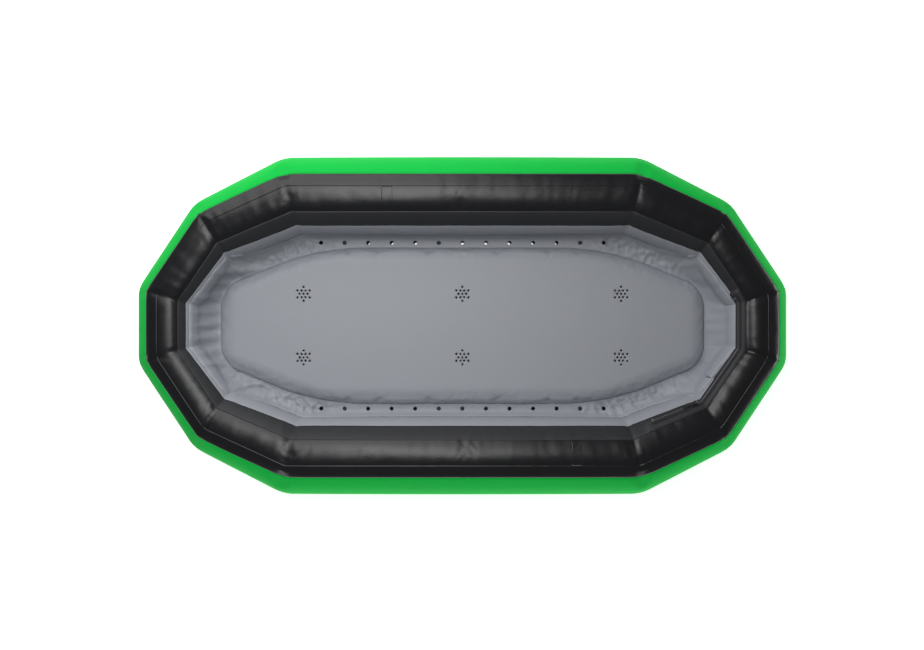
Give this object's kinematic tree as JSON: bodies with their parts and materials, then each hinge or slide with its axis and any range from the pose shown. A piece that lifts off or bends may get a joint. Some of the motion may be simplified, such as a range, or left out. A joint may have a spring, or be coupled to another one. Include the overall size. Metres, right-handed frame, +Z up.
{
  "type": "inflatable kayak",
  "caption": "Open inflatable kayak: a faceted ring tube round a raised mat and a self-bailing floor, with valves, plugs, an access zip and a tow loop.",
  "frame": {"origin": "on the ground under the middle of the boat", "axes": "+X along the length, away from the tow loop; +Y to port; +Z up"},
  "size_m": [2.0002, 1.042, 0.2469],
  "materials": {
    "green_fabric": "satin",
    "black_fabric": "satin",
    "grey_fabric": "matte",
    "dark_fabric": "matte",
    "bladder_film": "satin",
    "thread": "matte",
    "sleeve_film": "satin",
    "webbing": "matte",
    "zip_plastic": "satin",
    "zip_metal": "satin",
    "pull_webbing": "matte",
    "spring_steel": "satin",
    "black_rubber": "satin",
    "poppet_plastic": "satin",
    "flange_rubber": "matte",
    "valve_plastic": "satin"
  },
  "bodies": {
    "kayak": {"outer_panel": "green_fabric", "valve_panel": "green_fabric", "top_panel": "black_fabric", "inner_panel": "grey_fabric", "bottom_panel": "dark_fabric", "outer_top_tape": "black_fabric", "inner_top_tape": "black_fabric", "outer_bottom_tape": "green_fabric", "floor_tape": "grey_fabric", "hull_tape": "dark_fabric", "port_lap_seam": "black_fabric", "starboard_lap_seam": "black_fabric", "air_bladder": "bladder_film", "floor_sheet": "grey_fabric", "hull_sheet": "dark_fabric", "mat_top_skin": "grey_fabric", "mat_bottom_skin": "dark_fabric", "mat_threads": "thread", "drain_sleeve_1": "sleeve_film", "drain_sleeve_2": "sleeve_film", "drain_sleeve_3": "sleeve_film", "drain_sleeve_4": "sleeve_film", "drain_sleeve_5": "sleeve_film", "drain_sleeve_6": "sleeve_film", "zip_tape_upper": "webbing", "zip_tape_lower": "webbing", "zip_teeth": "zip_plastic", "zip_stop_end": "zip_metal", "zip_stop_side": "zip_metal", "tow_patch": "green_fabric", "tow_loop": "webbing", "tube_valve_flange": "flange_rubber", "tube_valve_body": "valve_plastic", "tube_valve_spring": "spring_steel", "tube_valve_seal": "black_rubber", "tube_valve_tether": "valve_plastic", "mat_valve_flange": "flange_rubber", "mat_valve_body": "valve_plastic", "mat_valve_spring": "spring_steel", "mat_valve_seal": "black_rubber", "mat_valve_tether": "valve_plastic"},
    "tube_cap": {"tube_valve_cap": "valve_plastic"},
    "tube_poppet": {"tube_valve_poppet": "poppet_plastic"},
    "mat_cap": {"mat_valve_cap": "valve_plastic"},
    "mat_poppet": {"mat_valve_poppet": "poppet_plastic"},
    "zip_runner": {"zip_slider": "zip_metal"},
    "zip_pull_tab": {"zip_pull": "pull_webbing"},
    "plug_1": {"bail_plug_1": "black_rubber"},
    "plug_2": {"bail_plug_2": "black_rubber"},
    "plug_3": {"bail_plug_3": "black_rubber"},
    "plug_4": {"bail_plug_4": "black_rubber"},
    "plug_5": {"bail_plug_5": "black_rubber"},
    "plug_6": {"bail_plug_6": "black_rubber"},
    "plug_7": {"bail_plug_7": "black_rubber"}
  },
  "joints": [
    {"name": "tube_cap_flip", "type": "hinge", "parent": "kayak", "child": "tube_cap", "pos_m": [-0.278, 0.49613, 0.04249], "axis": [0, -0.6428, -0.766], "range_deg": [0, 150]},
    {"name": "tube_poppet_push", "type": "slide", "parent": "kayak", "child": "tube_poppet", "axis": [0, -0.766, 0.6428], "range_m": [0, 0.006], "stiffness_N_per_m": 250, "springref_m": -0.004},
    {"name": "mat_cap_flip", "type": "hinge", "parent": "kayak", "child": "mat_cap", "pos_m": [-0.618, 0, 0.0292], "axis": [0, -1, 0], "range_deg": [0, 110]},
    {"name": "mat_poppet_push", "type": "slide", "parent": "kayak", "child": "mat_poppet", "axis": [0, 0, 1], "range_m": [0, 0.006], "stiffness_N_per_m": 250, "springref_m": -0.004},
    {"name": "zip_run", "type": "slide", "parent": "kayak", "child": "zip_runner", "axis": [-0.9309, -0.3606, 0.0588], "range_m": [0, 0.1233]},
    {"name": "zip_pull_lift", "type": "hinge", "parent": "zip_runner", "child": "zip_pull_tab", "pos_m": [0.70563, -0.23151, 0.20866], "axis": [-0.2997, 0.6617, -0.6873], "range_deg": [0, 150]},
    {"name": "plug_1_pull", "type": "slide", "parent": "kayak", "child": "plug_1", "axis": [0, 0, 1], "range_m": [0, 0.03]},
    {"name": "plug_2_pull", "type": "slide", "parent": "kayak", "child": "plug_2", "axis": [0, 0, 1], "range_m": [0, 0.03]},
    {"name": "plug_3_pull", "type": "slide", "parent": "kayak", "child": "plug_3", "axis": [0, 0, 1], "range_m": [0, 0.03]},
    {"name": "plug_4_pull", "type": "slide", "parent": "kayak", "child": "plug_4", "axis": [0, 0, 1], "range_m": [0, 0.03]},
    {"name": "plug_5_pull", "type": "slide", "parent": "kayak", "child": "plug_5", "axis": [0, 0, 1], "range_m": [0, 0.03]},
    {"name": "plug_6_pull", "type": "slide", "parent": "kayak", "child": "plug_6", "axis": [0, 0, 1], "range_m": [0, 0.03]},
    {"name": "plug_7_pull", "type": "slide", "parent": "kayak", "child": "plug_7", "axis": [0, 0, 1], "range_m": [0, 0.03]}
  ]
}
